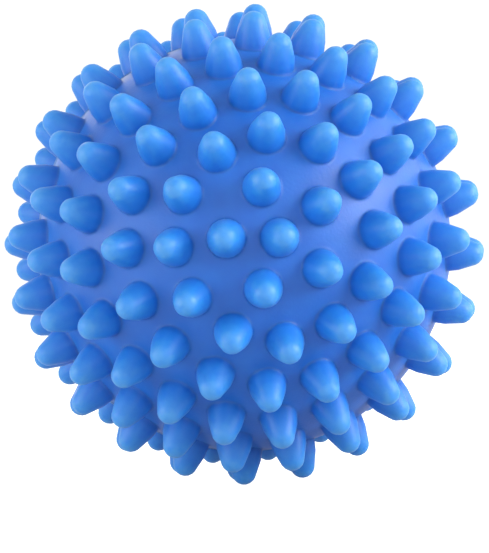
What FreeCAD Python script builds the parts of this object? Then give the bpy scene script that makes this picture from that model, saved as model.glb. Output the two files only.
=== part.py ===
import FreeCAD, Part
import math
import os

import Sketcher
from FreeCAD import Vector

# Hollow dryer ball: two moulded half shells with solid nubs, welded together at the equator, and
# the plug of the vent hole in the back half.
# Frame: origin at the ball's centre. The poles are on Y, the front half's towards -Y, and the
# seam lies in the XZ plane. +Z is up, and the ball rests on the lowest nubs beside the seam.
# A nub's place is its polar angle from its own half's pole and its azimuth from +X towards +Z.

doc = FreeCAD.newDocument("dryer_ball")

# name, value (millimetres, degrees or a count), what it is
drivingDimensions = [
    ("ball_diameter", 65.0, "over the tips of the nubs"),
    ("shell_diameter", 55.7, "outside of the wall, between the nubs"),
    ("wall", 2.0, "thickness of the wall"),
    ("nub_tip_radius", 1.63, "round end of a nub"),
    ("nub_side_radius", 13.0, "slight bulge of a nub's side"),
    ("nub_root_radius", 2.6, "radius of a nub where it is rooted in the wall"),
    ("nub_root_depth", 0.8, "how far under the shell's surface that is"),
    ("row_pitch", 13.66, "polar angle from one row of nubs to the next"),
    ("count_1", 5, "nubs in the row next to the pole"),
    ("count_2", 12, "nubs in the second row"),
    ("count_3", 17, "nubs in the third row"),
    ("count_4", 21, "nubs in the fourth row"),
    ("count_5", 23, "nubs in the fifth row"),
    ("count_6", 24, "nubs in the row next to the seam"),
    ("lead_1", 31.0, "azimuth of a nub in the row next to the pole"),
    ("lead_2", 29.2, "azimuth of a nub in the second row"),
    ("lead_3", 29.6, "azimuth of a nub in the third row"),
    ("lead_4", 28.6, "azimuth of a nub in the fourth row"),
    ("lead_5", 22.5, "azimuth of a nub in the fifth row"),
    ("lead_6", 22.5, "azimuth of a nub in the row next to the seam"),
    ("back_turn", 1.25, "how far the back half was turned about the poles when it was welded on"),
    ("tongue_width", 0.95, "thickness of the front half's tongue"),
    ("tongue_length", 1.6, "how far the tongue reaches past the seam"),
    ("tongue_clearance", 0.05, "gap round the tongue in its recess"),
    ("flash_height", 0.12, "how far the trimmed flash stands out at the seam"),
    ("flash_width", 0.25, "width of the flash on each half"),
    ("plug_polar", 18.0, "polar angle of the vent plug"),
    ("plug_azimuth", 138.0, "azimuth of the vent plug, before the half is turned"),
    ("plug_head_radius", 1.6, "head of the plug"),
    ("plug_head_thickness", 0.7, "thickness of the head"),
    ("plug_inset", 0.05, "how far the head lies under the shell's surface"),
    ("plug_stem_radius", 0.9, "stem of the plug"),
    ("plug_barb_radius", 1.25, "barb that holds the plug behind the wall"),
    ("plug_barb_length", 1.0, "length of the barb"),
    ("plug_barb_play", 0.1, "gap between the wall and the barb"),
    ("plug_clearance", 0.02, "gap between the plug and its hole"),
    ("vent_overrun", 1.0, "how far the hole's cut runs past the wall"),
]

sheet = doc.addObject("Spreadsheet::Sheet", "dims")
for line, (name, value, meaning) in enumerate(drivingDimensions, start=1):
    sheet.set(f"A{line}", meaning)
    sheet.set(f"B{line}", str(value))
    sheet.setAlias(f"B{line}", name)
doc.recompute()

frontSide, backSide = -1, 1
rows = range(1, 7)
skinRadius = "dims.shell_diameter / 2"
linerRadius = f"{skinRadius} - dims.wall"
ballRadius = "dims.ball_diameter / 2"

horizontal, vertical = -1, -2  # a sketch's own axes
start, end, centre = 1, 2, 3   # the points of a line or an arc
origin = (horizontal, start)


def number(expression):
    """What an expression of the sheet's dimensions comes to now."""
    return float(sheet.evalExpression(expression.replace("dims.", "")))


def originFeature(body, role):
    for feature in body.Origin.OriginFeatures:
        if feature.Role == role:
            return feature
    raise ValueError(role)


def newBody(label):
    body = doc.addObject("PartDesign::Body", label)
    body.Label = label
    body.Placement = FreeCAD.Placement()
    return body


def newSketch(body, name):
    """A sketch on the body's XY plane, so that its vertical axis is the ball's pole axis."""
    sketch = body.newObject("Sketcher::SketchObject", name)
    sketch.AttachmentSupport = [(originFeature(body, "XY_Plane"), "")]
    sketch.MapMode = "FlatFace"
    return sketch


def newRadialSketch(body, name, side, polar, azimuth):
    """A sketch whose vertical axis points out of the ball's centre at a polar angle and an azimuth."""
    sketch = newSketch(body, name)
    turn = f"180 + {polar}" if side == frontSide else f"-({polar})"
    sketch.setExpression(
        "AttachmentOffset",
        f"placement(vector(0; 0; 0); rotation(vector(0; 1; 0); -({azimuth}))"
        f" * rotation(vector(0; 0; 1); {turn}))",
    )
    return sketch


def addArc(sketch, middle, radius, a, b):
    """An arc about a centre, counterclockwise from the direction of a to that of b."""
    circle = Part.Circle(Vector(middle[0], middle[1], 0), Vector(0, 0, 1), radius)
    angles = [math.atan2(p[1] - middle[1], p[0] - middle[0]) for p in (a, b)]
    return sketch.addGeometry(Part.ArcOfCircle(circle, *angles))


def join(sketch, a, b):
    sketch.addConstraint(Sketcher.Constraint("Coincident", *a, *b))


def addPath(sketch, corners):
    """Joined lines through the corners, each held level or upright if it is drawn so."""
    lines = []
    for a, b in zip(corners, corners[1:]):
        line = sketch.addGeometry(Part.LineSegment(Vector(*a, 0), Vector(*b, 0)))
        if a[1] == b[1]:
            sketch.addConstraint(Sketcher.Constraint("Horizontal", line))
        elif a[0] == b[0]:
            sketch.addConstraint(Sketcher.Constraint("Vertical", line))
        if lines:
            join(sketch, (lines[-1], end), (line, start))
        lines.append(line)
    if corners[0] == corners[-1]:
        join(sketch, (lines[-1], end), (lines[0], start))
    return lines


def measure(sketch, name, kind, where, expression):
    """A named dimension of a sketch, bound to the sheet."""
    index = sketch.addConstraint(Sketcher.Constraint(kind, *where, number(expression)))
    sketch.renameConstraint(index, name)
    sketch.setExpression(f"Constraints.{name}", expression)


def revolve(body, sketch, name, kind="PartDesign::Revolution"):
    """The sketch turned once about its own vertical axis."""
    feature = body.newObject(kind, name)
    feature.Profile = sketch
    feature.ReferenceAxis = (sketch, ["V_Axis"])
    feature.Angle = 360
    return feature


def drawWall(sketch, side):
    """Section of a half's wall beside the pole axis, with its half of the seam joint.

    The skin's arc runs to the flash, and the seam's face from the flash to the tongue of the front
    half or the recess of the back half. The liner's arc runs back to the pole.
    """
    clearance = "" if side == frontSide else " + dims.tongue_clearance"
    flashRadius = f"{skinRadius} + dims.flash_height"
    stepRadius = f"{linerRadius} + dims.tongue_width{clearance}"
    stepHeight = f"dims.tongue_length{clearance}"

    skin, liner, flash, step = [number(r) for r in (skinRadius, linerRadius, flashRadius, stepRadius)]
    top = number(stepHeight)
    foot = side * sheet.flash_width
    skinFoot = (math.sqrt(skin**2 - foot**2), foot)
    corners = [skinFoot, (flash, foot), (flash, 0), (step, 0), (step, top)]
    if side == frontSide:
        corners += [(liner, top), (liner, 0)]
    else:
        corners += [(math.sqrt(liner**2 - top**2), top)]
    lines = addPath(sketch, corners)
    pole = (0, side * skin)
    axis, = addPath(sketch, [(0, side * liner), pole])
    if side == frontSide:
        skinArc = addArc(sketch, (0, 0), skin, pole, skinFoot)
        linerArc = addArc(sketch, (0, 0), liner, pole, corners[-1])
        atSeam, atPole = end, start
    else:
        skinArc = addArc(sketch, (0, 0), skin, skinFoot, pole)
        linerArc = addArc(sketch, (0, 0), liner, corners[-1], pole)
        atSeam, atPole = start, end

    join(sketch, (skinArc, atSeam), (lines[0], start))
    join(sketch, (linerArc, atSeam), (lines[-1], end))
    join(sketch, (linerArc, atPole), (axis, start))
    join(sketch, (skinArc, atPole), (axis, end))
    join(sketch, (skinArc, centre), origin)
    join(sketch, (linerArc, centre), origin)
    flashWall, seamFace, stepWall = lines[1:4]
    sketch.addConstraint(Sketcher.Constraint("PointOnObject", axis, start, vertical))
    sketch.addConstraint(Sketcher.Constraint("PointOnObject", seamFace, start, horizontal))
    if side == frontSide:
        sketch.addConstraint(Sketcher.Constraint("PointOnObject", linerArc, atSeam, horizontal))
    flashEnds = [(flashWall, start), (flashWall, end)][::-side]
    measure(sketch, "skin_radius", "Radius", (skinArc,), skinRadius)
    measure(sketch, "liner_radius", "Radius", (linerArc,), linerRadius)
    measure(sketch, "flash_radius", "DistanceX", (*origin, flashWall, start), flashRadius)
    measure(sketch, "flash_width", "DistanceY", (*flashEnds[0], *flashEnds[1]), "dims.flash_width")
    measure(sketch, "step_radius", "DistanceX", (*origin, stepWall, start), stepRadius)
    measure(sketch, "step_height", "DistanceY", (stepWall, start, stepWall, end), stepHeight)


def bulgeCentre(root, tipHeight):
    """Centre of the arc from a nub's root that runs on smoothly into its round end."""
    bulge = sheet.nub_side_radius
    swing = bulge - sheet.nub_tip_radius
    span = math.hypot(root[0], root[1] - tipHeight)
    along = (swing**2 - bulge**2 + span**2) / (2 * span)
    across = math.sqrt(swing**2 - along**2)
    dx = root[0] / span
    dy = (root[1] - tipHeight) / span
    return along * dx + across * dy, tipHeight + along * dy - across * dx


def drawNub(sketch):
    """Half section of a nub beside its own axis, from its root in the wall to its round end."""
    rootHeight = f"{skinRadius} - dims.nub_root_depth"
    top = (0, number(ballRadius))
    root = (sheet.nub_root_radius, number(rootHeight))
    tipCentre = (0, top[1] - sheet.nub_tip_radius)
    bulge = bulgeCentre(root, tipCentre[1])
    meeting = (-bulge[0], 2 * tipCentre[1] - bulge[1])  # any point on the line of both centres
    flank = addArc(sketch, bulge, sheet.nub_side_radius, root, meeting)
    cap = addArc(sketch, tipCentre, sheet.nub_tip_radius, meeting, top)
    axis, base = addPath(sketch, [top, (0, root[1]), root])

    sketch.addConstraint(Sketcher.Constraint("Tangent", flank, end, cap, start))
    join(sketch, (cap, end), (axis, start))
    join(sketch, (base, end), (flank, start))
    for point in (centre, end):
        sketch.addConstraint(Sketcher.Constraint("PointOnObject", cap, point, vertical))
    measure(sketch, "tip_radius", "Radius", (cap,), "dims.nub_tip_radius")
    measure(sketch, "side_radius", "Radius", (flank,), "dims.nub_side_radius")
    measure(sketch, "tip_height", "DistanceY", (*origin, cap, end), ballRadius)
    measure(sketch, "root_radius", "DistanceX", (*origin, base, end), "dims.nub_root_radius")
    measure(sketch, "root_height", "DistanceY", (*origin, base, end), rootHeight)


def addNubs(body, side):
    """The nub on the pole and the rows round it."""
    sketch = newRadialSketch(body, "pole_nub_section", side, "0", "0")
    drawNub(sketch)
    revolve(body, sketch, "pole_nub")
    for row in rows:
        polar = f"{row} * dims.row_pitch"
        sketch = newRadialSketch(body, f"row_{row}_section", side, polar, f"dims.lead_{row}")
        drawNub(sketch)
        nub = revolve(body, sketch, f"row_{row}_nub")
        ring = body.newObject("PartDesign::PolarPattern", f"row_{row}")
        ring.Originals = [nub]
        ring.Axis = (originFeature(body, "Y_Axis"), [""])
        ring.Angle = 360
        ring.setExpression("Occurrences", f"dims.count_{row}")
        body.Tip = ring


def halfShell(label, side):
    body = newBody(label)
    sketch = newSketch(body, "wall_section")
    drawWall(sketch, side)
    revolve(body, sketch, "wall")
    addNubs(body, side)
    return body


def addVentHole(body):
    """Stepped hole through the back half's wall: a seat for the plug's head, a bore for its stem."""
    sketch = newRadialSketch(body, "vent_section", backSide, "dims.plug_polar", "dims.plug_azimuth")
    heights = {
        "top": f"{skinRadius} + dims.vent_overrun",
        "bottom": f"{linerRadius} - dims.vent_overrun",
        "seat": f"{skinRadius} - dims.plug_inset - dims.plug_head_thickness",
    }
    radii = {
        "bore": "dims.plug_stem_radius + dims.plug_clearance",
        "mouth": "dims.plug_head_radius + dims.plug_clearance",
    }
    top, bottom, seat = [number(height) for height in heights.values()]
    bore, mouth = [number(radius) for radius in radii.values()]
    corners = [(0, top), (0, bottom), (bore, bottom), (bore, seat), (mouth, seat), (mouth, top), (0, top)]
    axis, floor, boreWall, seatFace, mouthWall, _ = addPath(sketch, corners)
    sketch.addConstraint(Sketcher.Constraint("PointOnObject", axis, start, vertical))
    for name, line in (("top", axis), ("bottom", floor), ("seat", seatFace)):
        measure(sketch, f"{name}_height", "DistanceY", (*origin, line, start), heights[name])
    for name, line in (("bore", boreWall), ("mouth", mouthWall)):
        measure(sketch, f"{name}_radius", "DistanceX", (*origin, line, start), radii[name])
    revolve(body, sketch, "vent", "PartDesign::Groove")


def ventPlug(label):
    """Headed stem with a barb behind the wall."""
    body = newBody(label)
    sketch = newRadialSketch(body, "plug_section", backSide, "dims.plug_polar", "dims.plug_azimuth")
    heights = {
        "top": f"{skinRadius} - dims.plug_inset",
        "nose": f"{linerRadius} - dims.plug_barb_play - dims.plug_barb_length",
        "catch": f"{linerRadius} - dims.plug_barb_play",
        "seat": f"{skinRadius} - dims.plug_inset - dims.plug_head_thickness",
    }
    top, nose, catch, seat = [number(height) for height in heights.values()]
    stem, barb, head = sheet.plug_stem_radius, sheet.plug_barb_radius, sheet.plug_head_radius
    corners = [(0, top), (0, nose), (stem, nose), (barb, catch), (stem, catch), (stem, seat),
               (head, seat), (head, top), (0, top)]
    axis, noseFace, cone, catchFace, stemWall, seatFace, rim, _ = addPath(sketch, corners)
    sketch.addConstraint(Sketcher.Constraint("PointOnObject", axis, start, vertical))
    for name, line in (("top", axis), ("nose", noseFace), ("catch", catchFace), ("seat", seatFace)):
        measure(sketch, f"{name}_height", "DistanceY", (*origin, line, start), heights[name])
    for name, line in (("nose", cone), ("barb", catchFace), ("stem", stemWall), ("head", rim)):
        radius = "dims.plug_stem_radius" if name == "nose" else f"dims.plug_{name}_radius"
        measure(sketch, f"{name}_radius", "DistanceX", (*origin, line, start), radius)
    revolve(body, sketch, "plug")
    return body


front = halfShell("front_half_shell", frontSide)
back = halfShell("back_half_shell", backSide)
addVentHole(back)
plug = ventPlug("vent_plug")
for body in (back, plug):
    body.setExpression(
        "Placement", "placement(vector(0; 0; 0); rotation(vector(0; 1; 0); -dims.back_turn))"
    )
doc.recompute()

for feature in doc.Objects:
    if {"Invalid", "Error"} & set(feature.State):
        raise RuntimeError(f"{feature.Name} failed: {feature.State}")
    if feature.TypeId == "Sketcher::SketchObject" and not feature.FullyConstrained:
        raise RuntimeError(f"{feature.Name} isn't fully constrained")

os.makedirs("parts", exist_ok=True)
for body in (front, back, plug):
    shape = body.Shape
    if shape.isNull() or not shape.isValid() or len(shape.Solids) != 1:
        raise RuntimeError(f"{body.Label} isn't one valid solid")
    shape.exportStep(f"parts/{body.Label}.step")
    box = shape.BoundBox
    print(f"{body.Label}: {shape.Volume / 1000:.3f} cm3, {len(shape.Faces)} faces,"
          f" {box.XLength:.2f} x {box.YLength:.2f} x {box.ZLength:.2f} mm,"
          f" lowest {box.ZMin:.3f} mm")
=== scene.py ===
import math

import bmesh
import bpy
from mathutils import Matrix, Vector


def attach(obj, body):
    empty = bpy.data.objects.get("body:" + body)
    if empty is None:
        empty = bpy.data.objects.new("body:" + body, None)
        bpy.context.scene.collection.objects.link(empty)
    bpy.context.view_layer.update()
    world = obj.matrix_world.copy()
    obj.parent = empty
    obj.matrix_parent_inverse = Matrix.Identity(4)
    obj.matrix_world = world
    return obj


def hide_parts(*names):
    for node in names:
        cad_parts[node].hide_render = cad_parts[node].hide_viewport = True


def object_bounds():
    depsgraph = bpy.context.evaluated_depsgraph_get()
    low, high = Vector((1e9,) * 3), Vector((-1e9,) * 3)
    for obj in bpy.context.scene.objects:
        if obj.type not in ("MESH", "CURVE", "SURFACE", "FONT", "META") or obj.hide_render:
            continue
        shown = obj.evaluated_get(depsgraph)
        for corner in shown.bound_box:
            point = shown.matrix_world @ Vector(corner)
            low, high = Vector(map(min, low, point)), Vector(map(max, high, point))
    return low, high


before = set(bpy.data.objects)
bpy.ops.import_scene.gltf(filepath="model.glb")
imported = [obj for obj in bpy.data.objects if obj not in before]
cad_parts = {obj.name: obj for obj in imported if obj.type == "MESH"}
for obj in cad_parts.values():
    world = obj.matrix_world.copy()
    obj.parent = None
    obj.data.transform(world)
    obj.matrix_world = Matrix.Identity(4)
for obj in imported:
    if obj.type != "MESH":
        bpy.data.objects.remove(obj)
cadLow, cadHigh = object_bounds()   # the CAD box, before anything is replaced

mm = 0.001
centre = Vector((0, 0, 0))
poleAxis = Vector((0, 1, 0))    # the front half's pole is at its negative end
upAxis = Vector((0, 0, 1))
sliver = 0.004 * mm             # vertices closer than this are merged after a boolean
smoothAngle = 32                # degrees; sharper edges stay sharp


# helpers for working as by hand

def clearSelection():
    if bpy.context.object and bpy.context.object.mode == "EDIT":
        bpy.ops.object.mode_set(mode="OBJECT")
    bpy.ops.object.select_all(action="DESELECT")


def makeActive(piece):
    clearSelection()
    piece.select_set(True)
    bpy.context.view_layer.objects.active = piece


def editMesh(piece):
    makeActive(piece)
    bpy.ops.object.mode_set(mode="EDIT")
    bpy.ops.mesh.select_mode(type="VERT")


def leaveEdit():
    bpy.ops.object.mode_set(mode="OBJECT")


# selects the vertices that pass the test, with the edges and faces between them
def selectWhere(piece, test):
    bpy.ops.mesh.select_all(action="DESELECT")
    mesh = bmesh.from_edit_mesh(piece.data)
    for vert in mesh.verts:
        if test(vert.co):
            vert.select = True
    mesh.select_flush(True)
    bmesh.update_edit_mesh(piece.data)


def turnFacesOut(piece):
    editMesh(piece)
    bpy.ops.mesh.select_all(action="SELECT")
    bpy.ops.mesh.normals_make_consistent(inside=False)
    leaveEdit()


def applyBoolean(piece, other, operation):
    makeActive(piece)
    modifier = piece.modifiers.new("boolean", "BOOLEAN")
    modifier.operation = operation
    modifier.solver = "MANIFOLD"
    modifier.object = other
    bpy.ops.object.modifier_apply(modifier=modifier.name)
    bpy.data.objects.remove(other)
    editMesh(piece)
    bpy.ops.mesh.select_all(action="SELECT")
    bpy.ops.mesh.remove_doubles(threshold=sliver)
    leaveEdit()


def joinPieces(pieces, name):
    clearSelection()
    for piece in pieces:
        piece.select_set(True)
    bpy.context.view_layer.objects.active = pieces[0]
    bpy.ops.object.join()
    pieces[0].name = name
    return pieces[0]


def smooth(piece, angle):
    makeActive(piece)
    bpy.ops.object.shade_smooth_by_angle(angle=math.radians(angle))


# a round solid on +Z: a disc extruded from each height and radius of its profile to the next
def extrudeRound(name, sides, profile):
    height, radius = profile[0]
    clearSelection()
    bpy.ops.mesh.primitive_circle_add(vertices=sides, radius=radius, fill_type="NGON")
    piece = bpy.context.object
    piece.name = name
    editMesh(piece)
    bpy.ops.mesh.select_all(action="SELECT")
    bpy.ops.transform.translate(value=(0, 0, height))
    for nextHeight, nextRadius in profile[1:]:
        rise = (0, 0, nextHeight - height)
        bpy.ops.mesh.extrude_region_move(TRANSFORM_OT_translate={"value": rise})
        ratio = nextRadius / radius
        bpy.ops.transform.resize(value=(ratio, ratio, 1), center_override=(0, 0, nextHeight))
        height, radius = nextHeight, nextRadius
    turnFacesOut(piece)
    return piece


# the place of a piece modelled on +Z, at a direction out of the ball's centre
def placeOut(direction):
    return direction.to_track_quat("Z", "Y").to_matrix().to_4x4()


def outward(polar, azimuth):
    polar, azimuth = math.radians(polar), math.radians(azimuth)
    ring = math.sin(polar)
    return Vector((ring * math.cos(azimuth), -math.cos(polar), ring * math.sin(azimuth)))


# the wall of a half, with its half of the seam joint

shell = dict(
    radius=27.85 * mm,
    wall=2.0 * mm,
    segments=144,
    rings=72,
    flashHeight=0.12 * mm,
    flashWidth=0.25 * mm,
    tongueWidth=0.95 * mm,
    tongueLength=1.6 * mm,
    tongueGap=0.05 * mm,
    backTurn=1.25,          # degrees round the poles, as the back half was welded on
    near=0.02 * mm,         # how far from a rim's radius its vertices may be picked
    level=0.002 * mm,       # and how far from its place along the poles
)


# extrudes the selected rim along the poles, and then gives it another radius
def extrudeRim(distance, radius=1, newRadius=1):
    bpy.ops.mesh.extrude_region_move(TRANSFORM_OT_translate={"value": (0, distance, 0)})
    ratio = newRadius / radius
    bpy.ops.transform.resize(value=(ratio, 1, ratio), center_override=centre)


# both halves are modelled as a front half, open at the seam
# the real front half gets the tongue of the seam joint, and the back half its recess
def modelWall(name, front):
    skin = shell["radius"]
    liner = skin - shell["wall"]
    lip = skin + shell["flashHeight"]
    gap = 0 if front else shell["tongueGap"]
    step = liner + shell["tongueWidth"] + gap
    reach = shell["tongueLength"] + gap
    if not front:
        reach = -reach
    clearSelection()
    bpy.ops.mesh.primitive_uv_sphere_add(segments=shell["segments"], ring_count=shell["rings"],
                                         radius=skin, rotation=(math.radians(90), 0, 0))
    wall = bpy.context.object
    wall.name = name
    bpy.ops.object.transform_apply(location=False, rotation=True, scale=False)

    # the skin ends at the flash, and a smaller copy of it is the liner
    editMesh(wall)
    rimY = -shell["flashWidth"]
    bpy.ops.mesh.select_all(action="SELECT")
    bpy.ops.mesh.bisect(plane_co=(0, rimY, 0), plane_no=poleAxis, clear_outer=True)
    bpy.ops.mesh.select_all(action="SELECT")
    bpy.ops.mesh.duplicate()
    shrink = liner / skin
    bpy.ops.transform.resize(value=(shrink, shrink, shrink), center_override=centre)
    bpy.ops.mesh.flip_normals()
    linerY = shrink * rimY
    if not front:
        linerY = reach
        bpy.ops.mesh.bisect(plane_co=(0, linerY, 0), plane_no=poleAxis, clear_outer=True)

    # the skin's rim goes out to the flash, in along the seam and round the step
    near, level = shell["near"], shell["level"]
    rimRadius = math.sqrt(skin**2 - rimY**2)
    selectWhere(wall, lambda co: abs(co.y - rimY) < near and abs(co.xz.length - rimRadius) < near)
    extrudeRim(0, rimRadius, lip)
    extrudeRim(shell["flashWidth"])
    extrudeRim(0, lip, step)
    extrudeRim(reach)
    edge = step
    if front:
        extrudeRim(0, step, liner)
        edge = liner
    linerRadius = math.sqrt(liner**2 - linerY**2)
    ends = ((reach, edge), (linerY, linerRadius))
    selectWhere(wall, lambda co: any(abs(co.y - y) < level and abs(co.xz.length - radius) < near
                                     for y, radius in ends))
    bpy.ops.mesh.bridge_edge_loops()
    leaveEdit()
    return wall


# a nub, modelled once and copied

nub = dict(
    height=4.65 * mm,
    tipRadius=1.63 * mm,
    bulge=13.0 * mm,            # radius of the side's slight curve
    rootRadius=2.6 * mm,
    rootDepth=0.8 * mm,         # under the wall's surface
    sides=20,
    sideRings=2,                # from the root to where the tip begins
    tipAngles=(40, 60, 78),     # degrees up the round tip
)


# heights over the shell and radii of a nub, from its root up a shallow arc that runs into the round tip
def nubProfile():
    tip, bulge, root = nub["tipRadius"], nub["bulge"], nub["rootRadius"]
    tipCentre = nub["height"] - tip
    rise = tipCentre + nub["rootDepth"]
    span = math.hypot(root, rise)
    swing = bulge - tip
    along = (swing**2 - bulge**2 + span**2) / (2 * span)
    across = math.sqrt(swing**2 - along**2)
    bulgeOut = (along * root - across * rise) / span
    bulgeUp = tipCentre - (along * rise + across * root) / span
    joint = tipCentre + tip * (tipCentre - bulgeUp) / swing
    profile = []
    for ring in range(nub["sideRings"] + 1):
        height = -nub["rootDepth"] + (joint + nub["rootDepth"]) * ring / nub["sideRings"]
        profile.append((height, bulgeOut + math.sqrt(bulge**2 - (height - bulgeUp) ** 2)))
    for angle in nub["tipAngles"]:
        turn = math.radians(angle)
        profile.append((tipCentre + tip * math.sin(turn), tip * math.cos(turn)))
    return profile


# where the nubs stand: on the pole, and in rows of latitude round it

rows = dict(
    pitch=13.66,            # degrees from one row to the next
    counts=(5, 12, 17, 21, 23, 24),
    leads=(31.0, 29.2, 29.6, 28.6, 22.5, 22.5),     # azimuth of a nub in each row
)


def nubDirections():
    directions = [-poleAxis]
    for row, (count, lead) in enumerate(zip(rows["counts"], rows["leads"]), start=1):
        for index in range(count):
            directions.append(outward(row * rows["pitch"], lead + 360 / count * index))
    return directions


def addNubs(wall):
    pattern = extrudeRound("nub_pattern", nub["sides"], nubProfile())
    copies = []
    for direction in nubDirections():
        copy = pattern.copy()
        copy.data = pattern.data.copy()
        bpy.context.collection.objects.link(copy)
        copy.data.transform(placeOut(direction) @ Matrix.Translation((0, 0, shell["radius"])))
        copies.append(copy)
    bpy.data.objects.remove(pattern)
    applyBoolean(wall, joinPieces(copies, "nubs"), "UNION")


# the vent hole in the back half, and its push-in plug

plug = dict(
    polar=18.0,
    azimuth=138.0,
    inset=0.05 * mm,        # the head lies just under the wall's surface
    headRadius=1.6 * mm,
    headThickness=0.7 * mm,
    edge=0.14 * mm,         # round edge of the head
    edgeCut=0.3,            # share of the edge that is cut off at its middle
    dimpleRadius=0.5 * mm,
    dimpleDepth=0.12 * mm,
    stemRadius=0.9 * mm,
    barbRadius=1.25 * mm,
    barbLength=1.0 * mm,
    barbPlay=0.1 * mm,
    clearance=0.02 * mm,
    overrun=1.0 * mm,       # how far the cutter passes the wall
    sides=40,
)


def ventPlace():
    return placeOut(outward(plug["polar"], plug["azimuth"]))


def cutVent(wall):
    overrun = plug["overrun"]
    seat = shell["radius"] - plug["inset"] - plug["headThickness"]
    bore = plug["stemRadius"] + plug["clearance"]
    mouth = plug["headRadius"] + plug["clearance"]
    profile = [
        (shell["radius"] - shell["wall"] - overrun, bore),
        (seat, bore),
        (seat, mouth),
        (shell["radius"] + overrun, mouth),
    ]
    cutter = extrudeRound("vent_cutter", plug["sides"], profile)
    cutter.data.transform(ventPlace())
    applyBoolean(wall, cutter, "DIFFERENCE")


def modelPlug():
    top = shell["radius"] - plug["inset"]
    seat = top - plug["headThickness"]
    catch = shell["radius"] - shell["wall"] - plug["barbPlay"]
    head, edge, dimple = plug["headRadius"], plug["edge"], plug["dimpleRadius"]
    corner = plug["edgeCut"] * edge
    dimpleFloor = top - plug["dimpleDepth"]
    profile = [
        (catch - plug["barbLength"], plug["stemRadius"]),
        (catch, plug["barbRadius"]),
        (catch, plug["stemRadius"]),
        (seat, plug["stemRadius"]),
        (seat, head),
        (top - edge, head),
        (top - corner, head - corner),
        (top, head - edge),
        (top, dimple + edge),
        (dimpleFloor, dimple),
        (dimpleFloor, dimple / 2),
    ]
    piece = extrudeRound("plug", plug["sides"], profile)
    piece.data.transform(ventPlace())
    return piece


# the back half and its plug are mirrored across the seam, and turned round the poles
def moveToBack(piece):
    mirror = Matrix.Diagonal((1, -1, 1, 1))
    piece.data.transform(Matrix.Rotation(math.radians(-shell["backTurn"]), 4, "Y") @ mirror)
    turnFacesOut(piece)


frontHalf = modelWall("front_half", True)
addNubs(frontHalf)
print("front half:", len(frontHalf.data.polygons), "faces")

backHalf = modelWall("back_half", False)
addNubs(backHalf)
cutVent(backHalf)
moveToBack(backHalf)
print("back half:", len(backHalf.data.polygons), "faces")

ventPlug = modelPlug()
moveToBack(ventPlug)
print("plug:", len(ventPlug.data.polygons), "faces")

for piece in (frontHalf, backHalf, ventPlug):
    smooth(piece, smoothAngle)


# soft PVC: a thin milky skin between the nubs, darker than the nubs partly in its own colour and partly
# as painted shade between them; and solid nubs that pale towards their tips as a painted highlight, a
# little darker at their feet as painted shade

pvc = dict(
    # the skin is darker than the nubs: partly the thin wall's own colour, partly painted shade between
    # the nubs
    skin=(0.001, 0.102, 0.445),
    skinPale=(0.006, 0.125, 0.495),
    skinPatches=(0.38, 0.66),   # noise below which the skin is dark, and above which it is pale
    nub=(                       # share of a nub's height, and the colour there: paler up the tip is a painted highlight, darker at the foot is painted shade
        (0.00, (0.008, 0.150, 0.555)),
        (0.40, (0.008, 0.168, 0.575)),
        (0.75, (0.016, 0.203, 0.585)),
        (1.00, (0.043, 0.244, 0.575)),
    ),
    flash=(0.18, 0.34, 0.72),
    nubBlend=1.0 * mm,          # up a nub's foot, from the skin's colour to the nub's, carrying the skin's painted shade up the foot
    flashReach=0.3 * mm,        # either side of the seam
    flashCore=0.8,              # share of that reach that has the flash's full colour
    mottling=170,               # per metre, in the skin
    mottlingDetail=3,
    clouding=700,               # per metre, in the nubs
    cloudingDetail=2,
    cloudShift=0.16,            # how far it moves a colour up or down the nub
    middleNoise=(0.3, 0.7),     # the range that most of a noise lies in
    grain=2600,                 # per metre
    grainDetail=2,
    grainDepth=0.05 * mm,
    grainStrength=0.5,
    footRadius=0.7 * mm,        # softens the shading where a nub runs into the wall
    footSamples=6,
    roughness=(0.42, 0.54),
    plugShade=0.82,             # the plug is moulded apart from the halves, a little darker
)

pvcFinish = {
    "Subsurface Weight": 0.5,
    "Subsurface Radius": (0.25, 0.5, 1.0),
    "Subsurface Scale": 1.5 * mm,
    "IOR": 1.5,
    "Specular IOR Level": 0.48,
    "Sheen Weight": 0.05,
    "Sheen Roughness": 0.4,
    "Sheen Tint": (1, 1, 1, 1),
}


def addNode(material, kind, **settings):
    node = material.node_tree.nodes.new(kind)
    for name, value in settings.items():
        setattr(node, name, value)
    return node


def setSockets(node, settings):
    for name, value in settings.items():
        node.inputs[name].default_value = value


def newMaterial(name):
    material = bpy.data.materials.new(name)
    material.use_nodes = True
    return material, material.node_tree.links.new, material.node_tree.nodes["Principled BSDF"]


def addNoise(material, link, place, scale, detail):
    noise = addNode(material, "ShaderNodeTexNoise")
    setSockets(noise, {"Scale": scale, "Detail": detail})
    link(place, noise.inputs["Vector"])
    return noise.outputs["Fac"]


def addRange(material, link, value, fromLow, fromHigh, toLow=0, toHigh=1):
    remap = addNode(material, "ShaderNodeMapRange")
    setSockets(remap, {"From Min": fromLow, "From Max": fromHigh, "To Min": toLow, "To Max": toHigh})
    link(value, remap.inputs["Value"])
    return remap.outputs["Result"]


# a mix of two colours by a factor; each is a fixed colour or comes from another node
def addBlend(material, link, factor, low, high):
    blend = addNode(material, "ShaderNodeMix", data_type="RGBA")
    link(factor, blend.inputs["Factor"])
    for socket, colour in ((blend.inputs["A"], low), (blend.inputs["B"], high)):
        if isinstance(colour, tuple):
            socket.default_value = (*colour, 1)
        else:
            link(colour, socket)
    return blend.outputs["Result"]


def addRamp(material, link, factor, stops):
    ramp = addNode(material, "ShaderNodeValToRGB")
    elements = ramp.color_ramp.elements
    for index, (place, colour) in enumerate(stops):
        stop = elements[index] if index < len(elements) else elements.new(place)
        stop.position = place
        stop.color = (*colour, 1)
    link(factor, ramp.inputs["Fac"])
    return ramp.outputs["Color"]


# how far each place is from the origin of the piece
def addReach(material, link, place):
    reach = addNode(material, "ShaderNodeVectorMath", operation="LENGTH")
    link(place, reach.inputs[0])
    return reach.outputs["Value"]


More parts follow.
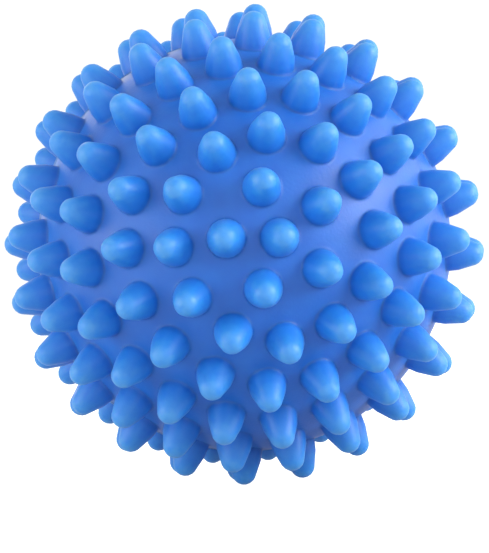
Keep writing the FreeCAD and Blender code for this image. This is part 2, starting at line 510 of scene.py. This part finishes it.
# how far each place is from the seam
def addSeamReach(material, link, place):
    axes = addNode(material, "ShaderNodeSeparateXYZ")
    link(place, axes.inputs["Vector"])
    reach = addNode(material, "ShaderNodeMath", operation="ABSOLUTE")
    link(axes.outputs["Y"], reach.inputs[0])
    return reach.outputs["Value"]


# the share of a nub's height, shifted by the soft clouding
def addTowardsTip(material, link, place, radius):
    shift = pvc["cloudShift"]
    clouds = addNoise(material, link, place, pvc["clouding"], pvc["cloudingDetail"])
    towardsTip = addNode(material, "ShaderNodeMath", operation="ADD")
    share = addRange(material, link, radius, shell["radius"], shell["radius"] + nub["height"])
    link(share, towardsTip.inputs[0])
    link(addRange(material, link, clouds, *pvc["middleNoise"], -shift, shift), towardsTip.inputs[1])
    return towardsTip.outputs["Value"]


# the fine grain, on shading that is rounded at the feet of the nubs
def addGrain(material, link, place):
    feet = addNode(material, "ShaderNodeBevel", samples=pvc["footSamples"])
    setSockets(feet, {"Radius": pvc["footRadius"]})
    bump = addNode(material, "ShaderNodeBump")
    setSockets(bump, {"Strength": pvc["grainStrength"], "Distance": pvc["grainDepth"]})
    grain = addNoise(material, link, place, pvc["grain"], pvc["grainDetail"])
    link(grain, bump.inputs["Height"])
    link(feet.outputs["Normal"], bump.inputs["Normal"])
    return bump.outputs["Normal"]


def makePvc(name, shade=1.0):
    def shaded(colour):
        return tuple(shade * channel for channel in colour)

    material, link, shader = newMaterial(name)
    place = addNode(material, "ShaderNodeTexCoord").outputs["Object"]
    radius = addReach(material, link, place)
    patches = addNoise(material, link, place, pvc["mottling"], pvc["mottlingDetail"])
    patch = addRange(material, link, patches, *pvc["skinPatches"])
    # the skin: its own colour with painted shade between the nubs, mottled at random
    skin = addBlend(material, link, patch, shaded(pvc["skin"]), shaded(pvc["skinPale"]))
    # the nubs: a painted highlight towards their tips and painted shade at their feet
    towardsTip = addTowardsTip(material, link, place, radius)
    stops = [(share, shaded(colour)) for share, colour in pvc["nub"]]
    nubColourWithPaintedLight = addRamp(material, link, towardsTip, stops)
    onNub = addRange(material, link, radius, shell["radius"], shell["radius"] + pvc["nubBlend"])
    # the skin's painted shade and the nubs' painted light, blended up each nub's foot
    pvcWithPaintedLightAndShade = addBlend(material, link, onNub, skin, nubColourWithPaintedLight)

    # the thin flash along the seam
    reach = pvc["flashReach"]
    seamReach = addSeamReach(material, link, place)
    onFlash = addRange(material, link, seamReach, reach, reach * pvc["flashCore"])
    colour = addBlend(material, link, onFlash, pvcWithPaintedLightAndShade, pvc["flash"])
    link(colour, shader.inputs["Base Color"])

    rough = addRange(material, link, patches, *pvc["middleNoise"], *pvc["roughness"])
    link(rough, shader.inputs["Roughness"])
    link(addGrain(material, link, place), shader.inputs["Normal"])
    setSockets(shader, pvcFinish)
    return material


softPvc = makePvc("softPvc")
plugPvc = makePvc("plugPvc", pvc["plugShade"])
for piece, node, material, slot in (
    (frontHalf, "front_half_shell", softPvc, "soft_pvc"),
    (backHalf, "back_half_shell", softPvc, "soft_pvc"),
    (ventPlug, "vent_plug", plugPvc, "plug_pvc"),
):
    piece.data.materials.clear()
    piece.data.materials.append(material)
    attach(piece, "root")
    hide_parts(node)
print("materials made")


# the camera

view = dict(
    azimuth=-9.12,          # degrees round from the front
    elevation=-0.90,
    roll=6.00,              # the camera leans clockwise
    distance=327.3 * mm,
    lens=157.2,             # millimetres, for the sensor's long side
    sensor=36,
    clipStart=10 * mm,
    aimRight=-0.01 * mm,
    aimUp=-4.30 * mm,
)


def addCamera():
    azimuth, elevation = math.radians(view["azimuth"]), math.radians(view["elevation"])
    back = Vector((math.sin(azimuth) * math.cos(elevation),
                   -math.cos(azimuth) * math.cos(elevation), math.sin(elevation)))
    right = upAxis.cross(back).normalized()
    lean = Matrix.Rotation(math.radians(view["roll"]), 3, -back)
    right, up = lean @ right, lean @ back.cross(right)
    place = back * view["distance"]
    aim = right * view["aimRight"] + up * view["aimUp"]
    back = (place - aim).normalized()
    right = up.cross(back).normalized()
    axes = Matrix((right, back.cross(right), back)).transposed()
    clearSelection()
    bpy.ops.object.camera_add(location=place)
    camera = bpy.context.object
    camera.name = "camera"
    camera.matrix_world = Matrix.Translation(place) @ axes.to_4x4()
    camera.data.lens = view["lens"]
    camera.data.sensor_width = view["sensor"]
    camera.data.clip_start = view["clipStart"]
    bpy.context.scene.camera = camera


# the studio: a white table and a white room, which the camera sees brighter than they light the ball

studio = dict(
    white=1.05,
    tableSize=9.0,
    tableLight=(0.08, 0.60),    # under the ball, and out in the open
    shadowReach=(12 * mm, 70 * mm),
    roomLight=0.82,
)

tableFinish = {
    "Base Color": (0.40, 0.40, 0.40, 1),
    "Roughness": 0.9,
    "Specular IOR Level": 0,
    "Emission Color": (1, 1, 1, 1),
}

softboxes = dict(
    key=dict(right=0.76, up=0.24, front=0.28, size=0.55, power=8.0),
    left=dict(right=-0.70, up=0.06, front=0.26, size=0.80, power=5.4),
    rim=dict(right=0.68, up=0.20, front=-0.30, size=0.60, power=2.0),
    back=dict(right=-0.30, up=0.30, front=-0.80, size=0.60, power=1.5),
    front=dict(right=0.05, up=0.10, front=0.88, size=1.10, power=2.3),
)


# a strength that is white where the camera sees it
# its To Min, which the caller sets, is the light that it gives the ball
def addSeenWhite(owner):
    tree = owner.node_tree
    path = tree.nodes.new("ShaderNodeLightPath")
    remap = tree.nodes.new("ShaderNodeMapRange")
    remap.inputs["To Max"].default_value = studio["white"]
    tree.links.new(path.outputs["Is Camera Ray"], remap.inputs["Value"])
    return remap


def modelTable():
    clearSelection()
    bpy.ops.mesh.primitive_plane_add(size=studio["tableSize"])
    floor = bpy.context.object
    floor.name = "table"
    editMesh(floor)
    bpy.ops.mesh.select_all(action="SELECT")
    bpy.ops.transform.translate(value=(0, 0, cadLow.z))
    leaveEdit()
    material, link, shader = newMaterial("litTable")
    setSockets(shader, tableFinish)
    place = addNode(material, "ShaderNodeTexCoord").outputs["Object"]
    reach = addReach(material, link, place)
    given = addRange(material, link, reach, *studio["shadowReach"], *studio["tableLight"])
    seen = addSeenWhite(material)
    link(given, seen.inputs["To Min"])
    link(seen.outputs["Result"], shader.inputs["Emission Strength"])
    floor.data.materials.append(material)


def lightRoom():
    scene = bpy.context.scene
    scene.world = bpy.data.worlds.new("room")
    scene.world.use_nodes = True
    background = scene.world.node_tree.nodes["Background"]
    background.inputs["Color"].default_value = (1, 1, 1, 1)
    link = scene.world.node_tree.links.new
    seen = addSeenWhite(scene.world)
    seen.inputs["To Min"].default_value = studio["roomLight"]
    link(seen.outputs["Result"], background.inputs["Strength"])
    azimuth = math.radians(view["azimuth"])
    front = Vector((math.sin(azimuth), -math.cos(azimuth), 0))
    right = upAxis.cross(front)
    for name, box in softboxes.items():
        place = right * box["right"] + front * box["front"] + upAxis * box["up"]
        clearSelection()
        bpy.ops.object.light_add(type="AREA", location=place)
        light = bpy.context.object
        light.name = name
        light.data.shape = "DISK"
        light.data.size = box["size"]
        light.data.energy = box["power"]
        light.rotation_mode = "QUATERNION"
        light.rotation_quaternion = (-place).to_track_quat("-Z", "Y")
    scene.view_settings.view_transform = "Standard"
    scene.view_settings.look = "None"


modelTable()
lightRoom()
addCamera()
print("table, light and camera set up")
